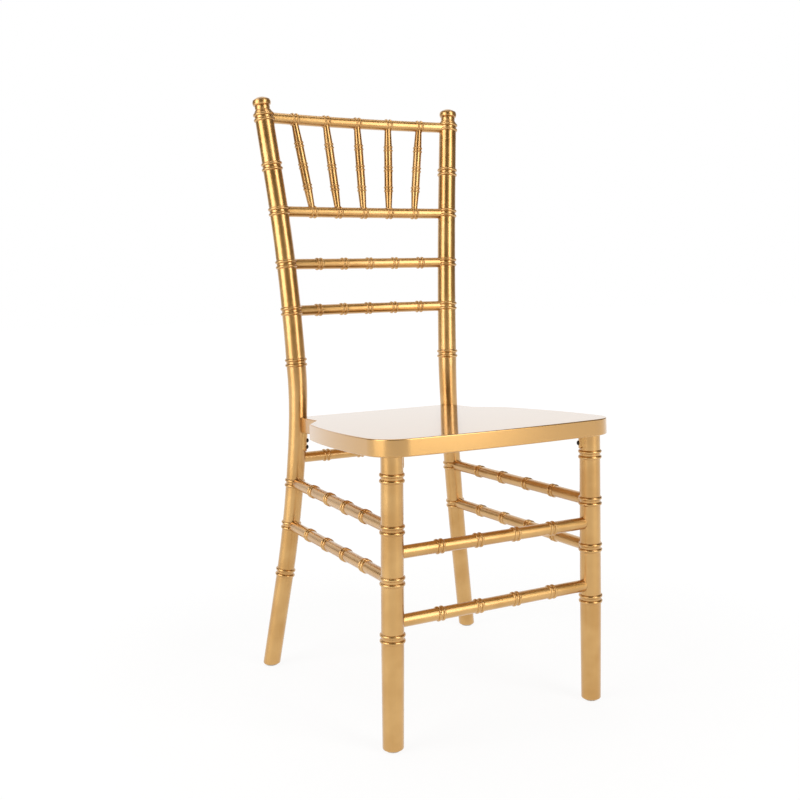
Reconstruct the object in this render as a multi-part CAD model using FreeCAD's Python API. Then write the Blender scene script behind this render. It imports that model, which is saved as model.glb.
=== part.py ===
"""Chiavari chair: bent back posts, front legs, bowed back rails, spindles, stretchers and a board seat."""
import FreeCAD, Part

import math
import os

V = FreeCAD.Vector

# Lengths are in mm, angles in degrees. While the chair is built, x = 0 is its plane of symmetry,
# y = 0 is the line through the front feet, the front faces -y and the floor is z = 0.
# At the end the chair moves so that its box is centred on the origin.

# Seat board: above the front feet its top is at SEAT_HEIGHT, and it falls toward the back.
# The rear corners are cut back to a tongue that ends at the posts.
SEAT_HEIGHT = 427.6
SEAT_SLOPE = 2.5
SEAT_THICKNESS = 23.8
SEAT_WIDTH = 387.0
SEAT_WIDEST_Y = 55.0
SEAT_SIDE_RADIUS = 900.0
SEAT_FRONT_OVERHANG = 39.5
SEAT_FRONT_RADIUS = 1700.0
SEAT_CORNER_RADIUS = 46.0
SEAT_NOTCH_LENGTH = 123.0
SEAT_NOTCH_ANGLE = 54.5
SEAT_NOTCH_RADIUS = 10.0
SEAT_HORN_RADIUS = 3.0
SEAT_REAR_PAST_POST = 2.1
SEAT_TONGUE_PAST_POST = 1.1
SEAT_EDGE_ROUNDING = 1.5
SEAT_POST_GAP = 0.4

# Back rails, each measured from the one below it, the lowest from the front edge of the seat
LOWER_RAIL_RISE = 154.6
UPPER_RAIL_RISE = 74.2
SPINDLE_RAIL_RISE = 83.4
CREST_RAIL_RISE = 147.0

# Stretchers and beads under the seat, measured down from SEAT_HEIGHT
LEG_BEAD_TOP_DROP = 53.6
REAR_STRETCHER_DROP = 82.2
SIDE_STRETCHER_UPPER_DROP = 122.6
FRONT_STRETCHER_UPPER_DROP = 155.6
SIDE_STRETCHER_LOWER_DROP = 192.1
FRONT_STRETCHER_LOWER_DROP = 249.7
ANKLE_BEAD_DROP = 270.1

# Bead pairs of the posts without a rail, as shares of the way from the seat to the lower back rail
# and from the spindle rail to the crest rail
WAIST_BEAD_SHARE = 0.47
BACK_BEAD_SHARE = 0.476

# Back posts: bent in an upright plane that is turned outward and leans a little. The bend is
# slight below and above the seat and sharper beside it. A foot's inset is from the seat's widest side.
POST_FOOT_INSET = 3.7
POST_FOOT_Y = 391.0
POST_BEND_TURN = 39.9
POST_LEAN = 1.35
POST_FOOT_RAKE = 10.03
POST_BEND_START = 140.0
POST_SEAT_BEND_DROP = 20.6
POST_SEAT_BEND_RISE = 52.4
POST_BEND_END = 782.0
POST_LOWER_BEND_RADIUS = 2155.0
POST_SEAT_BEND_RADIUS = 741.0
POST_UPPER_BEND_RADIUS = 3160.0
POST_FOOT_DIAMETER = 27.4
POST_ANKLE_DIAMETER = 27.6
POST_SEAT_DIAMETER = 29.2
POST_WAIST_DIAMETER = 31.2
POST_TOP_DIAMETER = 29.2
FINIAL_RING_DIAMETER = 26.0
FINIAL_NECK_DIAMETER = 23.0
FINIAL_DIAMETER = 29.2
FINIAL_HEIGHT = 31.8

# Front legs
LEG_FOOT_INSET = 25.5
LEG_SPLAY = 0.77
LEG_RAKE = 0.3
LEG_DIAMETER = 29.8
LEG_ANKLE_DIAMETER = 31.0
LEG_FOOT_DIAMETER = 29.0

# Feet. A post or leg is turned a little too long and its foot is then cut level.
FOOT_ALLOWANCE = 8.0
FOOT_ROUNDING = 2.2
GLIDE_DIAMETER = 20.0
GLIDE_THICKNESS = 2.6
GLIDE_PIN_DIAMETER = 3.0
GLIDE_PIN_LENGTH = 12.0

# Beads on posts and legs
BEAD_RISE = 2.1
BEAD_WIDTH = 5.2
BEAD_GAP = 3.0
BEAD_MARGIN = 1.0

# Back rails
CREST_RAIL_DIAMETER = 17.1
BACK_RAIL_DIAMETER = 16.9
CREST_RAIL_BOW = 12.2
SPINDLE_RAIL_BOW = 10.2
UPPER_RAIL_BOW = 14.0
LOWER_RAIL_BOW = 14.9
CREST_BEAD_SPACING = 57.3
BACK_BEAD_SPACING = 46.8
UPPER_RAIL_BEAD_SHIFT = 6.0
BACK_RAIL_BEADS = 5

# Stretchers
FRONT_STRETCHER_DIAMETER = 17.6
SIDE_STRETCHER_DIAMETER = 17.2
REAR_STRETCHER_DIAMETER = 16.9
FRONT_BEAD_SPACING = 62.0
SIDE_UPPER_BEAD_SPACING = 65.6
SIDE_LOWER_BEAD_SPACING = 68.0
STRETCHER_BEADS = 4

# Beads on rails and stretchers
RAIL_BEAD_RISE = 1.7
RAIL_BEAD_WIDTH = 4.5
RAIL_BEAD_GAP = 2.5

# Spindles
SPINDLE_DIAMETER = 13.9
SPINDLE_TOP_DIAMETER = 10.8
SPINDLE_BOTTOM_DIAMETER = 10.2
SPINDLE_BEAD_RISE = 1.1
SPINDLE_BEAD_WIDTH = 3.6
SPINDLE_BEAD_GAP = 2.2
SPINDLE_BEAD_PLACES = (0.27, 0.50, 0.73)

# Joints: a rail sits in a shallow housing at its full diameter and a round tenon goes on from there
HOUSING_DEPTH = 5.0
TENON_DIAMETER = 11.0
TENON_LENGTH = 9.0
SPINDLE_HOUSING_DEPTH = 3.0
SPINDLE_HOUSING_CLEARANCE = 0.37
SPINDLE_TENON_DIAMETER = 6.5
SPINDLE_TENON_LENGTH = 6.5
JOINT_CLEARANCE = 0.12
TENON_END_GAP = 0.5

# Brackets between the seat and the legs and posts
BRACKET_THICKNESS = 1.6
BRACKET_TURN = 30.0
BRACKET_WIDTH = 22.0
BRACKET_TAB_LENGTH = 30.0
BRACKET_CORNER_RADIUS = 7.0
FRONT_BRACKET_DROP = 21.0
REAR_BRACKET_DROP = 31.0
FRONT_SCREW_DROPS = (13.5,)
REAR_SCREW_DROPS = (14.0, 24.5)
TAB_SCREW_PLACES = (9.0, 21.0)
SCREW_DIAMETER = 3.5
SCREW_LENGTH = 14.0
SCREW_HEAD_DIAMETER = 7.0
SCREW_HEAD_HEIGHT = 2.6
SCREW_CLEARANCE = 0.05

# Places of the feet to the right of the middle
POST_FOOT_X = SEAT_WIDTH / 2 - POST_FOOT_INSET
LEG_FOOT_X = SEAT_WIDTH / 2 - LEG_FOOT_INSET

# Heights above the floor
LOWER_RAIL_HEIGHT = SEAT_HEIGHT + LOWER_RAIL_RISE
UPPER_RAIL_HEIGHT = LOWER_RAIL_HEIGHT + UPPER_RAIL_RISE
SPINDLE_RAIL_HEIGHT = UPPER_RAIL_HEIGHT + SPINDLE_RAIL_RISE
CREST_RAIL_HEIGHT = SPINDLE_RAIL_HEIGHT + CREST_RAIL_RISE
BACK_BEAD_HEIGHT = SPINDLE_RAIL_HEIGHT + BACK_BEAD_SHARE * CREST_RAIL_RISE
WAIST_BEAD_HEIGHT = SEAT_HEIGHT + WAIST_BEAD_SHARE * LOWER_RAIL_RISE
LEG_BEAD_TOP_HEIGHT = SEAT_HEIGHT - LEG_BEAD_TOP_DROP
REAR_STRETCHER_HEIGHT = SEAT_HEIGHT - REAR_STRETCHER_DROP
SIDE_STRETCHER_UPPER_HEIGHT = SEAT_HEIGHT - SIDE_STRETCHER_UPPER_DROP
FRONT_STRETCHER_UPPER_HEIGHT = SEAT_HEIGHT - FRONT_STRETCHER_UPPER_DROP
SIDE_STRETCHER_LOWER_HEIGHT = SEAT_HEIGHT - SIDE_STRETCHER_LOWER_DROP
FRONT_STRETCHER_LOWER_HEIGHT = SEAT_HEIGHT - FRONT_STRETCHER_LOWER_DROP
ANKLE_BEAD_HEIGHT = SEAT_HEIGHT - ANKLE_BEAD_DROP

# A width that is larger than the chair, for blocks that cut right across it
WHOLE_WIDTH = 3 * SEAT_WIDTH

POST_BENDS = (
    (POST_BEND_START, SEAT_HEIGHT - POST_SEAT_BEND_DROP, POST_LOWER_BEND_RADIUS),
    (SEAT_HEIGHT - POST_SEAT_BEND_DROP, SEAT_HEIGHT + POST_SEAT_BEND_RISE, POST_SEAT_BEND_RADIUS),
    (SEAT_HEIGHT + POST_SEAT_BEND_RISE, POST_BEND_END, POST_UPPER_BEND_RADIUS),
)
POST_STATIONS = (
    (0.0, POST_FOOT_DIAMETER / 2),
    (ANKLE_BEAD_HEIGHT, POST_ANKLE_DIAMETER / 2),
    (SEAT_HEIGHT - SEAT_THICKNESS, POST_SEAT_DIAMETER / 2),
    (WAIST_BEAD_HEIGHT, POST_WAIST_DIAMETER / 2),
    (CREST_RAIL_HEIGHT, POST_TOP_DIAMETER / 2),
)
LEG_STATIONS = (
    (-FOOT_ALLOWANCE, LEG_FOOT_DIAMETER / 2),
    (ANKLE_BEAD_HEIGHT, LEG_ANKLE_DIAMETER / 2),
    (SEAT_HEIGHT + FOOT_ALLOWANCE, LEG_DIAMETER / 2),
)


def placed(shape, point, direction):
    """A shape drawn along +z from the origin, moved to run from point along direction."""
    shape = shape.copy()
    shape.Placement = FreeCAD.Placement(point, FreeCAD.Rotation(V(0, 0, 1), direction))
    return shape


def rod(point, direction, radius, length):
    return placed(Part.makeCylinder(radius, length), point, direction)


def turned(outline):
    """A solid of revolution about z. Its outline is a closed list of edges in the xz plane."""
    return Part.Face(Part.Wire(outline)).revolve(V(0, 0, 0), V(0, 0, 1), 360)


def line(a, b):
    return Part.makeLine(V(a[0], 0, a[1]), V(b[0], 0, b[1]))


def arc(a, b, c):
    return Part.Arc(V(a[0], 0, a[1]), V(b[0], 0, b[1]), V(c[0], 0, c[1])).toShape()


def dome(radius, z, height):
    """The arc of a sphere from its rim up to its top on the axis."""
    ball = (radius ** 2 + height ** 2) / (2 * height)
    half = math.asin(radius / ball) / 2
    top = z + height
    return arc((radius, z), (ball * math.sin(half), top - ball * (1 - math.cos(half))), (0, top))


def one_solid(shape):
    return shape.Solids[0] if len(shape.Solids) == 1 else shape


def lofted(circles):
    return Part.makeLoft([Part.Wire(circle) for circle in circles], True)


def mirrored(shape):
    return shape.mirror(V(0, 0, 0), V(1, 0, 0))


def radius_at(stations, z):
    """The radius at z of a turned bar that is given by its stations (z, radius)."""
    for (z0, r0), (z1, r1) in zip(stations, stations[1:]):
        if z <= z1:
            return r0 + (r1 - r0) * (z - z0) / (z1 - z0)
    return stations[-1][1]


def beaded(stations, beads, rise, width):
    """A turned bar along z through its stations, with a half-round bead at each place in beads."""
    low, high = stations[0][0], stations[-1][0]
    here = (radius_at(stations, low), low)
    edges = [line((0, low), here)]
    for place in sorted(beads) + [high + width]:
        start = min(place - width / 2, high)
        for z, r in stations:
            if here[1] < z < start:
                edges.append(line(here, (r, z)))
                here = (r, z)
        edges.append(line(here, (radius_at(stations, start), start)))
        here = (radius_at(stations, start), start)
        if start < high:
            end = place + width / 2
            finish = (radius_at(stations, end), end)
            edges.append(arc(here, (radius_at(stations, place) + rise, place), finish))
            here = finish
    edges.append(line(here, (0, high)))
    edges.append(line((0, high), (0, low)))
    return turned(edges)


def pairs(places, width, gap):
    """The places of the beads when there is a pair around each of the given places."""
    half = (width + gap) / 2
    return [place + side for place in places for side in (-half, half)]


def bead_group(radius, rise, width, gap):
    """A short straight length of bar, centred on the origin, with one pair of beads."""
    reach = group_reach(width, gap)
    return beaded([(-reach, radius), (reach, radius)], pairs([0], width, gap), rise, width)


def group_reach(width, gap):
    return width + gap / 2 + BEAD_MARGIN


def bend_offset(z):
    """How far the post's centre line is from its foot along the bend direction, and its angle there."""
    angle = -math.radians(POST_FOOT_RAKE)
    offset = min(z, POST_BEND_START) * math.tan(angle)
    for start, end, radius in POST_BENDS:
        if z > start:
            turned_to = math.asin(math.sin(angle) + (min(z, end) - start) / radius)
            offset += radius * (math.cos(angle) - math.cos(turned_to))
            angle = turned_to
    offset += max(0.0, z - POST_BEND_END) * math.tan(angle)
    return offset, angle


def post_point(z):
    """The centre of the right back post at a height."""
    turn = math.radians(POST_BEND_TURN)
    offset, angle = bend_offset(z)
    lean = z * math.tan(math.radians(POST_LEAN))
    return V(
        POST_FOOT_X + offset * math.cos(turn) - lean * math.sin(turn),
        POST_FOOT_Y + offset * math.sin(turn) + lean * math.cos(turn),
        z,
    )


def post_direction(z):
    return (post_point(z + 0.5) - post_point(z - 0.5)).normalize()


def post_radius(z):
    return radius_at(POST_STATIONS, z)


def leg_radius(z):
    return radius_at(LEG_STATIONS, z)


def leg_point(z):
    """The centre of the right front leg at a height."""
    inward = z * math.tan(math.radians(LEG_SPLAY))
    forward = z * math.tan(math.radians(LEG_RAKE))
    return V(LEG_FOOT_X - inward, -forward, z)


def leg_direction():
    return (leg_point(1) - leg_point(0)).normalize()


def flipped(point):
    return V(-point.x, point.y, point.z)


def seat_placement():
    return FreeCAD.Placement(V(0, 0, SEAT_HEIGHT), FreeCAD.Rotation(V(1, 0, 0), -SEAT_SLOPE))


def seat_normal():
    return seat_placement().Rotation.multVec(V(0, 0, 1))


def seat_bottom_point(x, y):
    """The point of the seat's bottom plane at x, y of the plan."""
    top = SEAT_HEIGHT - y * math.tan(math.radians(SEAT_SLOPE))
    return V(x, y, top - SEAT_THICKNESS / math.cos(math.radians(SEAT_SLOPE)))


def above_seat_bottom():
    corner = V(-WHOLE_WIDTH / 2, -WHOLE_WIDTH / 2, -SEAT_THICKNESS)
    block = Part.makeBox(WHOLE_WIDTH, WHOLE_WIDTH, 8 * SEAT_THICKNESS, corner)
    block.Placement = seat_placement()
    return block


def bar_ends(start, end, start_radius, end_radius, depth):
    """The shoulders of a bar housed in two round members whose axes pass through start and end."""
    along = (end - start).normalize()
    return start + along * (start_radius - depth), end - along * (end_radius - depth), along


def straight_bar(start, end, start_radius, end_radius, diameter, bead_spacing):
    """A beaded stretcher between two axes, and the two tools that bore its seats."""
    first, last, along = bar_ends(start, end, start_radius, end_radius, HOUSING_DEPTH)
    radius = diameter / 2
    length = (last - first).Length
    middle = ((start + end) * 0.5 - first).Length
    centre = (STRETCHER_BEADS - 1) / 2
    places = [middle + bead_spacing * (number - centre) for number in range(STRETCHER_BEADS)]
    beads = pairs(places, RAIL_BEAD_WIDTH, RAIL_BEAD_GAP)
    body = beaded([(0, radius), (length, radius)], beads, RAIL_BEAD_RISE, RAIL_BEAD_WIDTH)
    body = placed(body, first, along)
    tenons = [
        rod(first - along * TENON_LENGTH, along, TENON_DIAMETER / 2, TENON_LENGTH),
        rod(last, along, TENON_DIAMETER / 2, TENON_LENGTH),
    ]
    bar = one_solid(body.fuse(tenons))
    return bar, (seat_tool(first, along, diameter), seat_tool(last, along * -1, diameter))


def seat_tool(shoulder, inward, diameter):
    """What is bored for a bar whose shoulder is at this point and which leaves the member along inward."""
    housing = rod(shoulder, inward, diameter / 2 + JOINT_CLEARANCE, 4 * HOUSING_DEPTH)
    depth = TENON_LENGTH + TENON_END_GAP
    bore = rod(shoulder - inward * depth, inward, TENON_DIAMETER / 2 + JOINT_CLEARANCE, depth + 1)
    return housing.fuse(bore)


class BowedRail:
    """A back rail: its centre line is a level arc through the axes of both posts."""

    def __init__(self, height, bow, diameter, spacing, shift=0.0):
        self.height = height
        self.radius = diameter / 2
        self.diameter = diameter
        self.spacing = spacing
        self.shift = shift
        post = post_point(height)
        self.sweep = (post.x ** 2 + bow ** 2) / (2 * bow)
        self.centre = V(0, post.y + bow - self.sweep, height)
        reach = math.asin(post.x / self.sweep)
        self.end_angle = reach - (post_radius(height) - HOUSING_DEPTH) / self.sweep

    def at_angle(self, angle):
        return self.centre + V(self.sweep * math.sin(angle), self.sweep * math.cos(angle), 0)

    def along(self, angle):
        return V(math.cos(angle), -math.sin(angle), 0)

    def bead_angle(self, number):
        x = self.shift + self.spacing * (number - (BACK_RAIL_BEADS - 1) / 2)
        return math.asin(x / self.sweep)

    def bead_point(self, number):
        return self.at_angle(self.bead_angle(number))

    def circle(self, angle):
        return Part.makeCircle(self.radius, self.at_angle(angle), self.along(angle))

    def solid(self):
        """Bead groups with lengths of plain rail between them, and a tenon at each end."""
        reach = group_reach(RAIL_BEAD_WIDTH, RAIL_BEAD_GAP)
        group = bead_group(self.radius, RAIL_BEAD_RISE, RAIL_BEAD_WIDTH, RAIL_BEAD_GAP)
        pieces = []
        start = -self.end_angle
        start_circle = self.circle(start)
        for number in range(BACK_RAIL_BEADS):
            place = self.bead_angle(number)
            point, along = self.at_angle(place), self.along(place)
            pieces.append(placed(group, point, along))
            end = place - reach / self.sweep
            end_circle = Part.makeCircle(self.radius, point - along * reach, along)
            pieces.append(self.length(start, end, start_circle, end_circle))
            start = place + reach / self.sweep
            start_circle = Part.makeCircle(self.radius, point + along * reach, along)
        pieces.append(self.length(start, self.end_angle, start_circle, self.circle(self.end_angle)))
        left, left_along = self.at_angle(-self.end_angle), self.along(-self.end_angle)
        right, right_along = self.at_angle(self.end_angle), self.along(self.end_angle)
        pieces.append(rod(left - left_along * TENON_LENGTH, left_along, TENON_DIAMETER / 2, TENON_LENGTH))
        pieces.append(rod(right, right_along, TENON_DIAMETER / 2, TENON_LENGTH))
        return one_solid(pieces[0].fuse(pieces[1:]))

    def length(self, start, end, start_circle, end_circle):
        """A plain length of rail between two angles, which ends in the given circles."""
        between = [self.circle(start + (end - start) * number / 3) for number in (1, 2)]
        return lofted([start_circle] + between + [end_circle])

    def tool_right(self):
        return seat_tool(self.at_angle(self.end_angle), self.along(self.end_angle) * -1, self.diameter)


def spindle(top, bottom, top_radius, bottom_radius):
    """A spindle between the axes of two rails, and the two tools that bore its seats."""
    upper, lower, along = bar_ends(top, bottom, top_radius, bottom_radius, SPINDLE_HOUSING_DEPTH)
    length = (lower - upper).Length
    full = (bottom - top).Length
    inset = (upper - top).Length
    swell = SPINDLE_DIAMETER / 2
    places = [share * full - inset for share in SPINDLE_BEAD_PLACES]
    stations = [
        (0, SPINDLE_TOP_DIAMETER / 2),
        (places[0], swell),
        (places[-1], swell),
        (length, SPINDLE_BOTTOM_DIAMETER / 2),
    ]
    beads = pairs(places, SPINDLE_BEAD_WIDTH, SPINDLE_BEAD_GAP)
    body = placed(beaded(stations, beads, SPINDLE_BEAD_RISE, SPINDLE_BEAD_WIDTH), upper, along)
    tenons = [
        rod(upper - along * SPINDLE_TENON_LENGTH, along, SPINDLE_TENON_DIAMETER / 2, SPINDLE_TENON_LENGTH),
        rod(lower, along, SPINDLE_TENON_DIAMETER / 2, SPINDLE_TENON_LENGTH),
    ]
    tools = []
    ends = ((upper, along, SPINDLE_TOP_DIAMETER), (lower, along * -1, SPINDLE_BOTTOM_DIAMETER))
    depth = SPINDLE_TENON_LENGTH + TENON_END_GAP
    for shoulder, away, diameter in ends:
        housing = rod(shoulder, away, diameter / 2 + SPINDLE_HOUSING_CLEARANCE, 3 * SPINDLE_HOUSING_DEPTH)
        bore = rod(shoulder - away * depth, away, SPINDLE_TENON_DIAMETER / 2 + JOINT_CLEARANCE, depth + 1)
        tools.append(housing.fuse(bore))
    return one_solid(body.fuse(tenons)), tools[0], tools[1]


def cut_foot(member):
    """Levels the foot on top of its glide and rounds its rim."""
    depth = 3 * FOOT_ALLOWANCE
    corner = V(-WHOLE_WIDTH / 2, -WHOLE_WIDTH / 2, GLIDE_THICKNESS - depth)
    member = one_solid(member.cut(Part.makeBox(WHOLE_WIDTH, 2 * WHOLE_WIDTH, depth, corner)))
    rim = [e for e in member.Edges if e.BoundBox.ZMax < GLIDE_THICKNESS + 0.01]
    return member.makeFillet(FOOT_ROUNDING, rim)


def finial():
    """The top of the post above the crest rail's bead pair. Its heights are from the middle of the pair."""
    shaft = POST_TOP_DIAMETER / 2
    ring = FINIAL_RING_DIAMETER / 2
    neck = FINIAL_NECK_DIAMETER / 2
    knob = FINIAL_DIAMETER / 2
    top = FINIAL_HEIGHT
    base = group_reach(BEAD_WIDTH, BEAD_GAP)
    return turned([
        line((0, base), (shaft, base)),
        line((shaft, base), (0.96 * ring, base + 0.01 * top)),
        arc((0.96 * ring, base + 0.01 * top), (ring, 0.31 * top), (neck, 0.36 * top)),
        arc((neck, 0.36 * top), (neck + 0.4 * (ring - neck), 0.47 * top), (neck, 0.57 * top)),
        line((neck, 0.57 * top), (0.94 * knob, 0.59 * top)),
        arc((0.94 * knob, 0.59 * top), (knob, 0.71 * top), (0.94 * knob, 0.84 * top)),
        dome(0.94 * knob, 0.84 * top, 0.16 * top),
        line((0, top), (0, base)),
    ])


def post_length(low, high, low_end, high_end):
    """A plain length of post between two heights. An end is the circle that it shares with a bead group."""
    count = max(2, round((high - low) / 40))
    between = []
    for number in range(1, count):
        z = low + (high - low) * number / count
        between.append(Part.makeCircle(post_radius(z), post_point(z), post_direction(z)))
    return lofted([low_end] + between + [high_end])


def back_post(tools):
    heights = sorted((
        CREST_RAIL_HEIGHT, BACK_BEAD_HEIGHT, SPINDLE_RAIL_HEIGHT, UPPER_RAIL_HEIGHT, LOWER_RAIL_HEIGHT,
        WAIST_BEAD_HEIGHT, SIDE_STRETCHER_UPPER_HEIGHT, SIDE_STRETCHER_LOWER_HEIGHT, ANKLE_BEAD_HEIGHT,
    ))
    reach = group_reach(BEAD_WIDTH, BEAD_GAP)
    pieces = [placed(finial(), post_point(CREST_RAIL_HEIGHT), post_direction(CREST_RAIL_HEIGHT))]
    low = -FOOT_ALLOWANCE
    low_end = Part.makeCircle(post_radius(0), post_point(low), post_direction(low))
    for z in heights:
        point, direction, radius = post_point(z), post_direction(z), post_radius(z)
        pieces.append(placed(bead_group(radius, BEAD_RISE, BEAD_WIDTH, BEAD_GAP), point, direction))
        high_end = Part.makeCircle(radius, point - direction * reach, direction)
        high = z - reach * direction.z
        pieces.append(post_length(low, high, low_end, high_end))
        low = z + reach * direction.z
        low_end = Part.makeCircle(radius, point + direction * reach, direction)
    body = cut_foot(pieces[0].fuse(pieces[1:]))
    return one_solid(body.cut(tools))


def front_leg(tools):
    heights = (
        LEG_BEAD_TOP_HEIGHT, SIDE_STRETCHER_UPPER_HEIGHT, SIDE_STRETCHER_LOWER_HEIGHT, ANKLE_BEAD_HEIGHT,
    )
    places = [z / leg_direction().z for z in heights]
    body = beaded(LEG_STATIONS, pairs(places, BEAD_WIDTH, BEAD_GAP), BEAD_RISE, BEAD_WIDTH)
    body = cut_foot(placed(body, leg_point(0), leg_direction()))
    return one_solid(body.cut(tools + [above_seat_bottom()]))


def glide(point):
    disc = Part.makeCylinder(GLIDE_DIAMETER / 2, GLIDE_THICKNESS, V(point.x, point.y, 0))
    rim = [e for e in disc.Edges if e.BoundBox.ZMax < 0.01]
    disc = disc.makeFillet(0.4 * GLIDE_THICKNESS, rim)
    pin = Part.makeCylinder(GLIDE_PIN_DIAMETER / 2, GLIDE_PIN_LENGTH, V(point.x, point.y, GLIDE_THICKNESS))
    return one_solid(disc.fuse(pin))


def glide_tool(point):
    radius = GLIDE_PIN_DIAMETER / 2 + SCREW_CLEARANCE
    length = GLIDE_THICKNESS + GLIDE_PIN_LENGTH + TENON_END_GAP
    return Part.makeCylinder(radius, length, V(point.x, point.y, 0))


def upright_edges(shape, chosen):
    """The upright edges whose middle passes the test chosen(x, y)."""
    found = []
    for edge in shape.Edges:
        box = edge.BoundBox
        upright = box.ZLength > 0.9 * SEAT_THICKNESS and box.XLength < 0.01 and box.YLength < 0.01
        if upright and chosen(box.Center.x, box.Center.y):
            found.append(edge)
    return found


def seat_board(tools):
    half = SEAT_WIDTH / 2
    thick = SEAT_THICKNESS
    base = V(0, 0, -thick)
    post = post_point(SEAT_HEIGHT - thick)
    rear_y = post.y + SEAT_REAR_PAST_POST
    wall = post.x + SEAT_TONGUE_PAST_POST
    offset = half - SEAT_SIDE_RADIUS
    right = Part.makeCylinder(SEAT_SIDE_RADIUS, thick, base + V(offset, SEAT_WIDEST_Y, 0))
    left = Part.makeCylinder(SEAT_SIDE_RADIUS, thick, base + V(-offset, SEAT_WIDEST_Y, 0))
    front_centre = V(0, SEAT_FRONT_RADIUS - SEAT_FRONT_OVERHANG, 0)
    front = Part.makeCylinder(SEAT_FRONT_RADIUS, thick, base + front_centre)
    length = 2 * rear_y
    board = Part.makeBox(2 * SEAT_WIDTH, length, thick, base + V(-SEAT_WIDTH, rear_y - length, 0))
    for limit in (right, left, front):
        board = board.common(limit)
    corners = upright_edges(board, lambda x, y: y < 0)
    board = board.makeFillet(SEAT_CORNER_RADIUS, corners)

    slant = math.tan(math.radians(SEAT_NOTCH_ANGLE))
    horn_y = rear_y - SEAT_NOTCH_LENGTH
    horn_x = offset + math.sqrt(SEAT_SIDE_RADIUS ** 2 - (horn_y - SEAT_WIDEST_Y) ** 2)
    inner_y = horn_y + (horn_x - wall) * slant
    beyond = SEAT_NOTCH_LENGTH / 2
    outline = [
        V(wall, inner_y, -thick),
        V(horn_x + beyond, horn_y - beyond * slant, -thick),
        V(horn_x + beyond, rear_y + beyond, -thick),
        V(wall, rear_y + beyond, -thick),
        V(wall, inner_y, -thick),
    ]
    notch = Part.Face(Part.makePolygon(outline)).extrude(V(0, 0, thick))
    board = board.cut([notch, mirrored(notch)])
    inner = upright_edges(board, lambda x, y: abs(abs(x) - wall) < 0.5 and abs(y - inner_y) < 0.5)
    board = board.makeFillet(SEAT_NOTCH_RADIUS, inner)
    horns = upright_edges(board, lambda x, y: abs(abs(x) - horn_x) < 0.5 and abs(y - horn_y) < 0.5)
    board = board.makeFillet(SEAT_HORN_RADIUS, horns)
    rims = [e for e in board.Edges if e.BoundBox.ZLength < 0.01]
    board = board.makeFillet(SEAT_EDGE_ROUNDING, rims)
    board.Placement = seat_placement()
    return one_solid(board.cut(tools))


def post_room():
    """The post at seat level with the gap that the board keeps from it."""
    low = SEAT_HEIGHT - 3 * SEAT_THICKNESS
    circles = []
    for number in range(5):
        z = low + number * SEAT_THICKNESS
        circles.append(Part.makeCircle(post_radius(z) + SEAT_POST_GAP, post_point(z), post_direction(z)))
    return lofted(circles)


def bracket(member, axis_point, direction, inward, radius, drop):
    """A plate that hugs the member under the seat and turns under the board along inward."""
    outer = radius + BRACKET_THICKNESS
    side = V(0, 0, 1).cross(inward)
    hug = rod(axis_point - direction * 2 * drop, direction, outer, 3 * drop)
    mask = Part.makeBox(2 * outer, BRACKET_WIDTH, 2 * drop, V(0, -BRACKET_WIDTH / 2, -drop))
    lower = [e for e in mask.Edges if e.BoundBox.ZMax < 0.01 - drop and e.BoundBox.XLength > outer]
    mask = mask.makeFillet(BRACKET_CORNER_RADIUS, lower)
    turn = FreeCAD.Rotation(V(1, 0, 0), inward)
    mask.Placement = FreeCAD.Placement(axis_point, turn)
    hug = hug.common(mask).cut(above_seat_bottom())

    reach = outer + BRACKET_TAB_LENGTH
    tab = Part.makeBox(reach, BRACKET_WIDTH, BRACKET_THICKNESS, V(0, -BRACKET_WIDTH / 2, 0))
    ends = [e for e in tab.Edges if e.BoundBox.XMin > reach - 0.01 and e.BoundBox.ZLength > 0.5]
    tab = tab.makeFillet(BRACKET_CORNER_RADIUS, ends)
    tab.Placement = FreeCAD.Placement(V(0, 0, 0), turn)
    seat_y = axis_point.y / math.cos(math.radians(SEAT_SLOPE))
    tab.translate(V(axis_point.x, seat_y, -SEAT_THICKNESS - BRACKET_THICKNESS))
    tab.Placement = seat_placement().multiply(tab.Placement)
    plate = one_solid(hug.fuse(tab)).cut(member)
    pieces = sorted(plate.Solids, key=lambda s: s.Volume)
    return pieces[-1]


def screw(point, inward):
    """A round-head screw: its head rests on the surface at point and its shank goes along -inward."""
    shank = SCREW_DIAMETER / 2
    head = SCREW_HEAD_DIAMETER / 2
    rim = 0.3 * SCREW_HEAD_HEIGHT
    body = turned([
        line((0, -SCREW_LENGTH), (shank, -SCREW_LENGTH)),
        line((shank, -SCREW_LENGTH), (shank, 0)),
        line((shank, 0), (head, 0)),
        line((head, 0), (head, rim)),
        dome(head, rim, SCREW_HEAD_HEIGHT - rim),
        line((0, SCREW_HEAD_HEIGHT), (0, -SCREW_LENGTH)),
    ])
    return placed(body, point, inward)


def screw_tool(point, inward):
    length = SCREW_LENGTH + TENON_END_GAP
    return rod(point - inward * length, inward, SCREW_DIAMETER / 2 + SCREW_CLEARANCE, length + 1)


def corner_hardware(member, axis_point, direction, inward, radius, drop, screw_drops):
    """The bracket of one corner, its screws, and what is bored for them in the member and in the seat."""
    plate = bracket(member, axis_point, direction, inward, radius, drop)
    seat_down = seat_normal() * -1
    screws = []
    member_bores = []
    seat_bores = []
    for fall in screw_drops:
        point = axis_point - direction * (fall / direction.z) + inward * (radius + BRACKET_THICKNESS)
        screws.append(screw(point, inward))
        member_bores.append(screw_tool(point, inward))
    for place in TAB_SCREW_PLACES:
        flat = axis_point + inward * (radius + BRACKET_THICKNESS + place)
        point = seat_bottom_point(flat.x, flat.y) + seat_down * BRACKET_THICKNESS
        screws.append(screw(point, seat_down))
        seat_bores.append(screw_tool(point, seat_down))
    return one_solid(plate.cut(member_bores + seat_bores)), screws, member_bores, seat_bores


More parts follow.
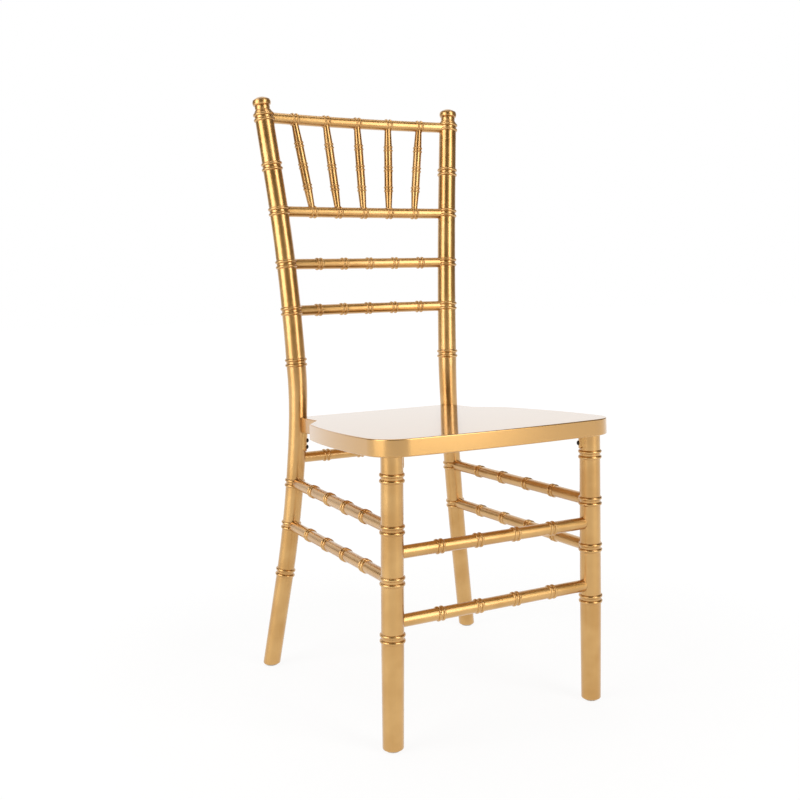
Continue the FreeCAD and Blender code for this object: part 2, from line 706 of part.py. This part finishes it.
def build():
    nodes = {}

    crest = BowedRail(CREST_RAIL_HEIGHT, CREST_RAIL_BOW, CREST_RAIL_DIAMETER, CREST_BEAD_SPACING)
    second = BowedRail(SPINDLE_RAIL_HEIGHT, SPINDLE_RAIL_BOW, BACK_RAIL_DIAMETER, BACK_BEAD_SPACING)
    third = BowedRail(
        UPPER_RAIL_HEIGHT, UPPER_RAIL_BOW, BACK_RAIL_DIAMETER, BACK_BEAD_SPACING, UPPER_RAIL_BEAD_SHIFT,
    )
    fourth = BowedRail(LOWER_RAIL_HEIGHT, LOWER_RAIL_BOW, BACK_RAIL_DIAMETER, BACK_BEAD_SPACING)
    crest_tools = []
    second_tools = []
    for number in range(BACK_RAIL_BEADS):
        stick, upper_tool, lower_tool = spindle(
            crest.bead_point(number), second.bead_point(number), crest.radius, second.radius,
        )
        nodes["spindle_%d" % (number + 1)] = stick
        crest_tools.append(upper_tool)
        second_tools.append(lower_tool)
    nodes["crest_rail"] = one_solid(crest.solid().cut(crest_tools))
    nodes["spindle_rail"] = one_solid(second.solid().cut(second_tools))
    nodes["back_rail_upper"] = third.solid()
    nodes["back_rail_lower"] = fourth.solid()

    post_tools = [rail.tool_right() for rail in (crest, second, third, fourth)]
    leg_tools = []

    for name, z in (("upper", FRONT_STRETCHER_UPPER_HEIGHT), ("lower", FRONT_STRETCHER_LOWER_HEIGHT)):
        right = leg_point(z)
        radius = leg_radius(z)
        bar, tools = straight_bar(
            flipped(right), right, radius, radius, FRONT_STRETCHER_DIAMETER, FRONT_BEAD_SPACING,
        )
        nodes["front_stretcher_" + name] = bar
        leg_tools.append(tools[1])

    rear = post_point(REAR_STRETCHER_HEIGHT)
    rear_radius = post_radius(REAR_STRETCHER_HEIGHT)
    bar, tools = straight_bar(
        flipped(rear), rear, rear_radius, rear_radius, REAR_STRETCHER_DIAMETER, FRONT_BEAD_SPACING,
    )
    nodes["rear_stretcher"] = bar
    post_tools.append(tools[1])

    sides = (
        ("upper", SIDE_STRETCHER_UPPER_HEIGHT, SIDE_UPPER_BEAD_SPACING),
        ("lower", SIDE_STRETCHER_LOWER_HEIGHT, SIDE_LOWER_BEAD_SPACING),
    )
    for name, z, spacing in sides:
        bar, tools = straight_bar(
            leg_point(z), post_point(z), leg_radius(z), post_radius(z), SIDE_STRETCHER_DIAMETER, spacing,
        )
        nodes["side_stretcher_right_" + name] = bar
        nodes["side_stretcher_left_" + name] = mirrored(bar)
        leg_tools.append(tools[0])
        post_tools.append(tools[1])

    foot_places = {"front": leg_point(0), "rear": post_point(0)}
    for name, place in foot_places.items():
        nodes["glide_right_" + name] = glide(place)
        nodes["glide_left_" + name] = mirrored(nodes["glide_right_" + name])
    leg_tools.append(glide_tool(foot_places["front"]))
    post_tools.append(glide_tool(foot_places["rear"]))

    post = back_post(post_tools)
    leg = front_leg(leg_tools)

    leg_top = leg_point(SEAT_HEIGHT - SEAT_THICKNESS)
    leg_under = seat_bottom_point(leg_top.x, leg_top.y).z
    post_seat = post_point(SEAT_HEIGHT - SEAT_THICKNESS)
    post_under = seat_bottom_point(post_seat.x, post_seat.y).z
    turn = math.radians(BRACKET_TURN)
    leg_inward = V(-math.cos(turn), math.sin(turn), 0)
    post_inward = V(-math.cos(turn), -math.sin(turn), 0)
    corners = (
        ("front", leg, leg_point(leg_under), leg_direction(), leg_inward,
         leg_radius(leg_under), FRONT_BRACKET_DROP, FRONT_SCREW_DROPS),
        ("rear", post, post_point(post_under), post_direction(post_under), post_inward,
         post_radius(post_under), REAR_BRACKET_DROP, REAR_SCREW_DROPS),
    )
    screws = []
    bores = {}
    seat_tools = [post_room(), mirrored(post_room())]
    for name, member, axis_point, direction, inward, radius, drop, screw_drops in corners:
        plate, pieces, member_bores, seat_bores = corner_hardware(
            member, axis_point, direction, inward, radius, drop, screw_drops,
        )
        nodes["seat_bracket_right_" + name] = plate
        nodes["seat_bracket_left_" + name] = mirrored(plate)
        screws += pieces + [mirrored(piece) for piece in pieces]
        bores[name] = member_bores
        seat_tools += seat_bores + [mirrored(bore) for bore in seat_bores]
    nodes["bracket_screws"] = Part.makeCompound(screws)
    post = one_solid(post.cut(bores["rear"]))
    leg = one_solid(leg.cut(bores["front"]))
    nodes["back_post_right"] = post
    nodes["back_post_left"] = mirrored(post)
    nodes["front_leg_right"] = leg
    nodes["front_leg_left"] = mirrored(leg)
    nodes["seat_board"] = seat_board(seat_tools)
    return nodes


def export(nodes):
    """Moves the chair so that its box stands centred on the origin, and writes one file per piece."""
    box = Part.makeCompound(list(nodes.values())).optimalBoundingBox(True, False)
    shift = V(-box.Center.x, -box.Center.y, -box.ZMin)
    os.makedirs("parts", exist_ok=True)
    for name, shape in nodes.items():
        moved = shape.copy()
        moved.translate(shift)
        moved.exportStep("parts/%s.step" % name)


export(build())
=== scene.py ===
"""Looks of the chiavari chair: gold metallic paint on turned wood, a pale floor and soft studio light."""

import math

import bpy
from mathutils import Matrix, Vector

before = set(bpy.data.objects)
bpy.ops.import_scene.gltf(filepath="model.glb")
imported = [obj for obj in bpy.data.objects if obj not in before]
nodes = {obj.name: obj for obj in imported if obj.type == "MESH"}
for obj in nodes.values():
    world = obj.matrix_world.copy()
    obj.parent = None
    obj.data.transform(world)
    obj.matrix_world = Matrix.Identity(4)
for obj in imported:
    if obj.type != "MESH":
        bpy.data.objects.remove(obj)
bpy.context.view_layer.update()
scene = bpy.context.scene

# Camera: the photograph's viewing angle. Metres and degrees, and pixels of a square picture
CAMERA_PLACE = Vector((-0.8044, -1.42541, 0.6432))
CAMERA_AZIMUTH = -29.31
CAMERA_ELEVATION = 6.85
CAMERA_ROLL = -0.909
CAMERA_CLIP_END = 100.0
SENSOR_WIDTH = 36.0
FOCAL_PIXELS = 1076.0
CENTRE_PIXEL = (424.2, 399.7)
FRAME_PIXELS = 800

# Gold paint: its lighter and darker patches, and a painted shade in the grooves of the beads, with how far
# the occlusion looks for a groove and its samples
GOLD_LIGHT = (0.67, 0.395, 0.135, 1.0)
GOLD_DARK = (0.57, 0.31, 0.09, 1.0)
GOLD_GROOVE_SHADE = (0.34, 0.145, 0.025, 1.0)
GROOVE_SHADE_REACH = 0.003
GROOVE_SHADE_SAMPLES = 6
ROUGHNESS_SWING = 0.03
FIBRE_DARKENING = 0.3

# Noise and bump of the gold paint: scales per metre, heights in metres
CLOUD_SCALE = 22.0
FLAKE_SCALE = 1400.0
FIBRE_HEIGHT = 0.0002
FIBRE_STRENGTH = 0.1
FLAKE_HEIGHT = 0.00002
FLAKE_STRENGTH = 0.35

# Grain scales per metre on x, y and z: coarse along the piece, fine across it
GRAIN_UPRIGHT = (260.0, 260.0, 12.0)
GRAIN_ACROSS = (12.0, 260.0, 260.0)
GRAIN_ALONG = (260.0, 12.0, 260.0)
GRAIN_BOARD = (9.0, 120.0, 120.0)
GRAIN_BRACKET = (60.0, 60.0, 60.0)

# Gold finishes: satin on the turned pieces, a smooth full coat on the board, a thin coat on the brackets
TURNED_FINISH = {"roughness": 0.34, "coat": 0.8, "coat_roughness": 0.18}
BOARD_FINISH = {"roughness": 0.26, "coat": 1.0, "coat_roughness": 0.03, "uneven": 0.06}
BRACKET_FINISH = {"roughness": 0.25, "coat": 0.3, "coat_roughness": 0.10}

# Small parts: darker and lighter shade of one colour
SCREW_DARK = (0.012, 0.011, 0.010, 1.0)
SCREW_LIGHT = (0.03, 0.028, 0.026, 1.0)
GLIDE_DARK = (0.62, 0.60, 0.54, 1.0)
GLIDE_LIGHT = (0.72, 0.70, 0.64, 1.0)
SPECK_SMOOTHER = 0.05
SPECK_ROUGHER = 0.08
SPECK_HEIGHT = 0.0001
SPECK_STRENGTH = 0.3

# Values of a noise, or of the occlusion, between which an effect goes from none to full
COLOUR_SPAN = (0.35, 0.65)
ROUGHNESS_SPAN = (0.3, 0.7)
FIBRE_SPAN = (0.55, 0.8)
# The last span is the occlusion over which the painted groove shade fades out
GROOVE_SHADE_SPAN = (0.25, 0.8)

# Floor: it looks nearly white at the chair, and fully white beyond the reach of the shadow
FLOOR_HALF_SIDE = 12.0
FLOOR_COLOUR = (0.9, 0.9, 0.9, 1.0)
FLOOR_GLOW = 1.03
FLOOR_WHITE = 0.88
FLOOR_SHADOW_REACH = (0.45, 1.1)

# Dark cloths of the studio: the two ends of each wall in plan, and the corners of the one overhead
FLAG_COLOUR = (0.30, 0.25, 0.20, 1.0)
FLAG_BOTTOM = 0.45
FLAG_TOP = 3.0
FLAG_WALLS = {
    "flag_right": ((2.3, -2.9), (2.6, 1.1)),
    "flag_front": ((-3.0, -2.9), (2.3, -2.9)),
    "flag_left": ((-3.0, -2.9), (-3.0, 1.0)),
    "flag_back_left": ((-3.0, 1.0), (-1.3, 2.6)),
}
FLAG_OVERHEAD = ((-3.0, -2.9), (2.6, -2.9), (2.6, 1.6), (-3.0, 1.6))

# World: its strength as light on the chair, and as the white that is seen and reflected
WORLD_LIGHT = 0.7
WORLD_SEEN = 1.0
WORLD_COLOUR = (1.0, 1.0, 1.0, 1.0)

# Softboxes: place, point faced, width and height, watts
SOFTBOXES = {
    "key": ((-2.3, -0.15, 1.25), (0.0, 0.0, 0.6), (1.7, 2.0), 36.0),
    "front": ((0.7, -1.95, 1.45), (0.0, 0.0, 0.6), (1.0, 2.3), 29.0),
    "top": ((0.0, 0.3, 2.6), (0.0, 0.0, 0.5), (1.6, 1.2), 12.0),
}


def make_camera():
    """The photograph's camera, with its roll and its off-centre picture."""
    azimuth = math.radians(CAMERA_AZIMUTH)
    elevation = math.radians(CAMERA_ELEVATION)
    roll = math.radians(CAMERA_ROLL)
    back = Vector((
        math.sin(azimuth) * math.cos(elevation),
        -math.cos(azimuth) * math.cos(elevation),
        math.sin(elevation),
    ))
    level_right = (-back).cross(Vector((0, 0, 1))).normalized()
    level_up = level_right.cross(-back)
    right = level_right * math.cos(roll) + level_up * math.sin(roll)
    up = level_up * math.cos(roll) - level_right * math.sin(roll)
    turn = Matrix((right, up, back)).transposed().to_4x4()
    data = bpy.data.cameras.new("camera")
    data.sensor_width = SENSOR_WIDTH
    data.lens = FOCAL_PIXELS / FRAME_PIXELS * SENSOR_WIDTH
    data.shift_x = (FRAME_PIXELS / 2 - CENTRE_PIXEL[0]) / FRAME_PIXELS
    data.shift_y = (CENTRE_PIXEL[1] - FRAME_PIXELS / 2) / FRAME_PIXELS
    data.clip_end = CAMERA_CLIP_END
    camera = bpy.data.objects.new("camera", data)
    camera.matrix_world = Matrix.Translation(CAMERA_PLACE) @ turn
    scene.collection.objects.link(camera)
    scene.camera = camera


class Nodes:
    """A short way to lay out the nodes of one material."""

    def __init__(self, name):
        self.material = bpy.data.materials.new(name)
        self.material.use_nodes = True
        self.tree = self.material.node_tree
        self.tree.nodes.clear()
        self.output = self.add("ShaderNodeOutputMaterial")

    def add(self, kind, **settings):
        node = self.tree.nodes.new(kind)
        for key, value in settings.items():
            setattr(node, key, value)
        return node

    def link(self, source, target):
        self.tree.links.new(source, target)

    def place(self):
        """Coordinates that stay with the piece."""
        return self.add("ShaderNodeTexCoord").outputs["Object"]

    def noise(self, coordinates, scale, detail=3.0, roughness=0.5):
        node = self.add("ShaderNodeTexNoise")
        node.inputs["Scale"].default_value = scale
        node.inputs["Detail"].default_value = detail
        node.inputs["Roughness"].default_value = roughness
        self.link(coordinates, node.inputs["Vector"])
        return node.outputs["Fac"]

    def stretched(self, coordinates, scale):
        node = self.add("ShaderNodeMapping")
        node.inputs["Scale"].default_value = scale
        self.link(coordinates, node.inputs["Vector"])
        return node.outputs["Vector"]

    def ramp(self, value, span, low, high):
        """Low at the start of the span, high at its end, held beyond both."""
        node = self.add("ShaderNodeMapRange")
        for key, number in zip(("From Min", "From Max", "To Min", "To Max"), (*span, low, high)):
            node.inputs[key].default_value = number
        self.link(value, node.inputs["Value"])
        return node.outputs["Result"]

    def mix(self, factor, a, b):
        """Colour a at factor 0, colour b at factor 1. Either is a colour or the output of a node."""
        node = self.add("ShaderNodeMix", data_type="RGBA")
        self.link(factor, node.inputs["Factor"])
        for socket, value in ((node.inputs["A"], a), (node.inputs["B"], b)):
            if isinstance(value, tuple):
                socket.default_value = value
            else:
                self.link(value, socket)
        return node.outputs["Result"]

    def bump(self, height, distance, strength, below=None):
        node = self.add("ShaderNodeBump")
        node.inputs["Distance"].default_value = distance
        node.inputs["Strength"].default_value = strength
        self.link(height, node.inputs["Height"])
        if below is not None:
            self.link(below, node.inputs["Normal"])
        return node.outputs["Normal"]

    def finish(self, shader):
        """Make the shader the surface of the material."""
        self.link(shader.outputs[0], self.output.inputs["Surface"])
        return self.material


def gold_paint(name, grain, roughness, coat, coat_roughness, uneven=1.0):
    """Metallic gold paint, a little uneven, with grain stretched along the piece and painted shade in the
    grooves.
    """
    n = Nodes(name)
    place = n.place()
    cloud = n.noise(place, CLOUD_SCALE, detail=2.0)
    fibre = n.noise(n.stretched(place, grain), 1.0, detail=4.0, roughness=0.6)
    flake = n.noise(place, FLAKE_SCALE, detail=1.0)
    patches = n.ramp(cloud, COLOUR_SPAN, 0.5 - 0.5 * uneven, 0.5 + 0.5 * uneven)
    colour = n.mix(patches, GOLD_DARK, GOLD_LIGHT)
    colour = n.mix(n.ramp(fibre, FIBRE_SPAN, 0.0, FIBRE_DARKENING * uneven), colour, GOLD_DARK)
    # Painted shade: the colour turns dark brown wherever the ambient occlusion finds a groove or crease
    occlusion = n.add("ShaderNodeAmbientOcclusion", samples=GROOVE_SHADE_SAMPLES)
    occlusion.inputs["Distance"].default_value = GROOVE_SHADE_REACH
    colour = n.mix(n.ramp(occlusion.outputs["AO"], GROOVE_SHADE_SPAN, 0.0, 1.0), GOLD_GROOVE_SHADE, colour)
    shader = n.add("ShaderNodeBsdfPrincipled")
    n.link(colour, shader.inputs["Base Color"])
    shader.inputs["Metallic"].default_value = 1.0
    swing = ROUGHNESS_SWING * uneven
    n.link(n.ramp(cloud, ROUGHNESS_SPAN, roughness - swing, roughness + swing), shader.inputs["Roughness"])
    shader.inputs["Coat Weight"].default_value = coat
    shader.inputs["Coat Roughness"].default_value = coat_roughness
    normal = n.bump(fibre, FIBRE_HEIGHT, FIBRE_STRENGTH * uneven)
    normal = n.bump(flake, FLAKE_HEIGHT, FLAKE_STRENGTH * uneven, normal)
    n.link(normal, shader.inputs["Normal"])
    return n.finish(shader)


def plain(name, dark, light, metallic, roughness, scale):
    """A small part's finish: one colour that varies a little, with a fine uneven surface."""
    n = Nodes(name)
    speck = n.noise(n.place(), scale)
    shader = n.add("ShaderNodeBsdfPrincipled")
    n.link(n.mix(n.ramp(speck, COLOUR_SPAN, 0.0, 1.0), dark, light), shader.inputs["Base Color"])
    shader.inputs["Metallic"].default_value = metallic
    rough = n.ramp(speck, ROUGHNESS_SPAN, roughness - SPECK_SMOOTHER, roughness + SPECK_ROUGHER)
    n.link(rough, shader.inputs["Roughness"])
    n.link(n.bump(speck, SPECK_HEIGHT, SPECK_STRENGTH), shader.inputs["Normal"])
    return n.finish(shader)


def dress(material, *beginnings):
    """Give the material to every node whose name starts with one of the beginnings."""
    for name, node in nodes.items():
        if name.startswith(beginnings):
            node.data.materials.clear()
            node.data.materials.append(material)


def plane(name, corners, material):
    mesh = bpy.data.meshes.new(name)
    mesh.from_pydata(corners, [], [(0, 1, 2, 3)])
    mesh.materials.append(material)
    panel = bpy.data.objects.new(name, mesh)
    scene.collection.objects.link(panel)
    return panel


def seen_directly(tree):
    """1 for a ray from the camera, a reflection or a transmission, 0 for diffuse light."""
    path = tree.nodes.new("ShaderNodeLightPath")
    value = path.outputs["Is Camera Ray"]
    for name in ("Is Glossy Ray", "Is Transmission Ray"):
        either = tree.nodes.new("ShaderNodeMath")
        either.operation = "MAXIMUM"
        tree.links.new(value, either.inputs[0])
        tree.links.new(path.outputs[name], either.inputs[1])
        value = either.outputs[0]
    return value


def make_floor():
    """A wide pale floor. It looks white, with the soft shadow of the chair around the feet."""
    n = Nodes("floor_pale")
    shade = n.add("ShaderNodeBsdfDiffuse")
    shade.inputs["Color"].default_value = FLOOR_COLOUR
    white = n.add("ShaderNodeEmission")
    white.inputs["Strength"].default_value = FLOOR_GLOW
    distance = n.add("ShaderNodeVectorMath", operation="LENGTH")
    n.link(n.place(), distance.inputs[0])
    share = n.ramp(distance.outputs["Value"], FLOOR_SHADOW_REACH, FLOOR_WHITE, 1.0)
    amount = n.add("ShaderNodeMath", operation="MULTIPLY")
    n.link(share, amount.inputs[0])
    n.link(seen_directly(n.tree), amount.inputs[1])
    mixed = n.add("ShaderNodeMixShader")
    n.link(amount.outputs[0], mixed.inputs[0])
    n.link(shade.outputs[0], mixed.inputs[1])
    n.link(white.outputs[0], mixed.inputs[2])
    half = FLOOR_HALF_SIDE
    corners = [(-half, -half, 0), (half, -half, 0), (half, half, 0), (-half, half, 0)]
    plane("floor", corners, n.finish(mixed))


def make_flags():
    """Dark cloths around the front of the studio, reflected by the paint and hidden from the camera."""
    n = Nodes("flag_dark")
    shade = n.add("ShaderNodeBsdfDiffuse")
    shade.inputs["Color"].default_value = FLAG_COLOUR
    cloth = n.finish(shade)
    for name, ((x0, y0), (x1, y1)) in FLAG_WALLS.items():
        corners = [(x0, y0, FLAG_BOTTOM), (x1, y1, FLAG_BOTTOM), (x1, y1, FLAG_TOP), (x0, y0, FLAG_TOP)]
        plane(name, corners, cloth).visible_camera = False
    corners = [(x, y, FLAG_TOP) for x, y in FLAG_OVERHEAD]
    plane("flag_top", corners, cloth).visible_camera = False


def make_world():
    """A white world that is brighter to the eye and in reflections than as light on the chair."""
    world = bpy.data.worlds.new("studio")
    scene.world = world
    world.use_nodes = True
    tree = world.node_tree
    tree.nodes.clear()
    strength = tree.nodes.new("ShaderNodeMapRange")
    strength.inputs["To Min"].default_value = WORLD_LIGHT
    strength.inputs["To Max"].default_value = WORLD_SEEN
    tree.links.new(seen_directly(tree), strength.inputs["Value"])
    light = tree.nodes.new("ShaderNodeBackground")
    light.inputs["Color"].default_value = WORLD_COLOUR
    tree.links.new(strength.outputs["Result"], light.inputs["Strength"])
    output = tree.nodes.new("ShaderNodeOutputWorld")
    tree.links.new(light.outputs["Background"], output.inputs["Surface"])


def softbox(name, place, target, size, watts):
    data = bpy.data.lights.new(name, "AREA")
    data.shape = "RECTANGLE"
    data.size, data.size_y = size
    data.energy = watts
    lamp = bpy.data.objects.new(name, data)
    lamp.location = place
    lamp.rotation_euler = (Vector(target) - Vector(place)).to_track_quat("-Z", "Y").to_euler()
    lamp.visible_camera = False
    scene.collection.objects.link(lamp)


make_camera()

upright = gold_paint("gold_upright", GRAIN_UPRIGHT, **TURNED_FINISH)
across = gold_paint("gold_across", GRAIN_ACROSS, **TURNED_FINISH)
along = gold_paint("gold_along", GRAIN_ALONG, **TURNED_FINISH)
board = gold_paint("gold_board", GRAIN_BOARD, **BOARD_FINISH)
bracket = gold_paint("gold_bracket", GRAIN_BRACKET, **BRACKET_FINISH)
screw = plain("screw_black", SCREW_DARK, SCREW_LIGHT, metallic=0.6, roughness=0.35, scale=900.0)
glide = plain("glide_plastic", GLIDE_DARK, GLIDE_LIGHT, metallic=0.0, roughness=0.45, scale=500.0)

dress(upright, "back_post", "front_leg", "spindle_1", "spindle_2", "spindle_3", "spindle_4", "spindle_5")
dress(across, "crest_rail", "spindle_rail", "back_rail", "rear_stretcher", "front_stretcher")
dress(along, "side_stretcher")
dress(board, "seat_board")
dress(bracket, "seat_bracket")
dress(screw, "bracket_screws")
dress(glide, "glide")

make_floor()
make_flags()
make_world()
for lamp_name, settings in SOFTBOXES.items():
    softbox(lamp_name, *settings)

scene.view_settings.view_transform = "Standard"
